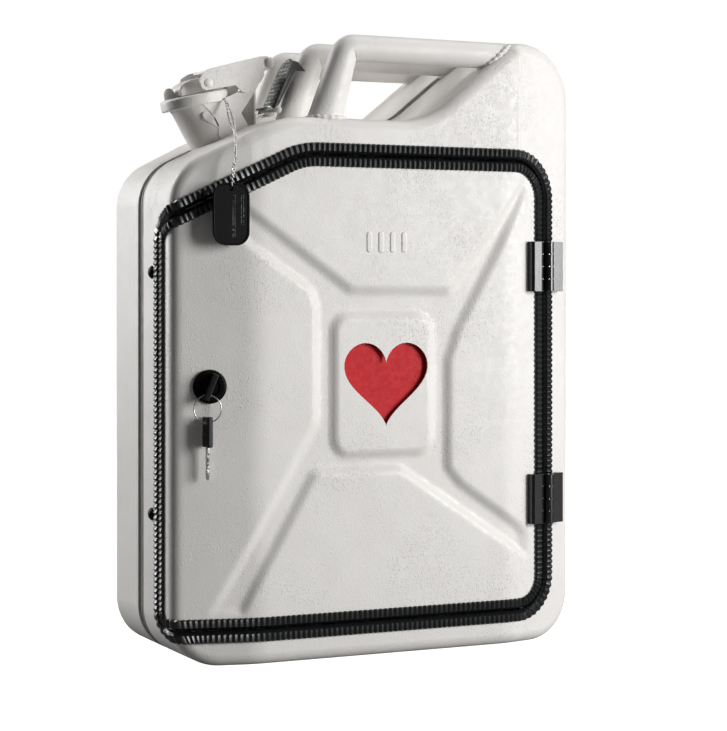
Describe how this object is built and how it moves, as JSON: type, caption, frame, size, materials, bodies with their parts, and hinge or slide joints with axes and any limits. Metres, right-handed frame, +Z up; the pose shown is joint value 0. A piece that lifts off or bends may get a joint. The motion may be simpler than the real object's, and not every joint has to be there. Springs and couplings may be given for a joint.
{
  "type": "jerry can first aid cabinet",
  "caption": "Steel jerry can turned into a lockable wall or table first aid cabinet: hinged door in its front, cam lock, rubber edging, carrying handles, lever-closed spout and shelves",
  "frame": {"origin": "middle of the can's bottom, on the seam flanges that are flush with it, at the base mount", "axes": "+X to the hinge side, -Y out of the door, +Z up"},
  "size_m": [0.3482, 0.1716, 0.484],
  "materials": {
    "white_paint": "satin warm white powder coat with fine orange peel and small pits",
    "black_rubber": "ribbed satin black edging",
    "black_hinge": "smooth satin black",
    "black_metal": "satin black",
    "black_plastic": "satin moulded black",
    "bright_steel": "bright nickel plated",
    "dark_steel": "dark blackened steel with bare high spots",
    "red_insert": "matt red"
  },
  "bodies": {
    "can": {"rear_shell": "white_paint", "front_frame": "white_paint", "seam_band": "white_paint", "body_trim": "black_rubber", "handle_front": "white_paint", "handle_middle": "white_paint", "handle_rear": "white_paint", "spout_neck": "white_paint", "closure_bracket": "white_paint", "arm_pin": "white_paint", "lever_pin": "white_paint", "hinge_upper_body_leaf": "black_hinge", "hinge_upper_pin": "bright_steel", "hinge_lower_body_leaf": "black_hinge", "hinge_lower_pin": "bright_steel", "shelf_lower": "white_paint", "shelf_upper": "white_paint", "strike_plate": "bright_steel", "strike_screw_upper": "black_metal", "strike_screw_lower": "black_metal", "ball_chain": "bright_steel"},
    "door": {"door_skin": "white_paint", "door_trim": "black_rubber", "red_insert": "red_insert", "hinge_upper_door_leaf": "black_hinge", "hinge_lower_door_leaf": "black_hinge", "lock_housing": "black_metal", "lock_nut": "bright_steel"},
    "lock_core": {"lock_plug": "black_plastic", "lock_cam": "bright_steel", "key_in_lock": "black_plastic"},
    "ring": {"key_ring": "bright_steel"},
    "spare_key": {"spare_key_head": "black_plastic", "spare_key_blade": "bright_steel"},
    "closure": {"cap_arm": "white_paint", "cap_pin": "white_paint", "cap_saddle": "white_paint", "cap_tab": "white_paint", "spout_cap": "white_paint", "cap_gasket": "black_rubber"},
    "lever": {"latch_lever": "dark_steel"},
    "tag": {"identity_tag": "black_metal"}
  },
  "joints": [
    {"name": "door_swing", "type": "hinge", "parent": "can", "child": "door", "pos_m": [0.1446, -0.0819, 0.209], "axis": [0, 0, 1], "range_deg": [0, 110]},
    {"name": "lock_turn", "type": "hinge", "parent": "door", "child": "lock_core", "pos_m": [-0.1445, -0.07388, 0.2108], "axis": [-0.2386, -0.9711, 0], "range_deg": [-90, 0]},
    {"name": "ring_hang", "type": "hinge", "parent": "lock_core", "child": "ring", "pos_m": [-0.14852, -0.0802, 0.20487], "axis": [-0.2386, -0.9711, 0], "range_deg": [-7, 7]},
    {"name": "spare_key_swing", "type": "hinge", "parent": "ring", "child": "spare_key", "pos_m": [-0.14852, -0.0802, 0.18427], "axis": [-0.2386, -0.9711, 0], "range_deg": [-8, 8]},
    {"name": "cap_lift", "type": "hinge", "parent": "can", "child": "closure", "pos_m": [-0.074, 0, 0.4625], "axis": [0, 1, 0], "range_deg": [0, 95]},
    {"name": "lever_release", "type": "hinge", "parent": "can", "child": "lever", "pos_m": [-0.066, 0, 0.426], "axis": [0, 1, 0], "range_deg": [0, 8]},
    {"name": "tag_swing", "type": "hinge", "parent": "can", "child": "tag", "pos_m": [-0.1299, -0.0862, 0.359], "axis": [0, -1, 0], "range_deg": [-14, 14]}
  ]
}
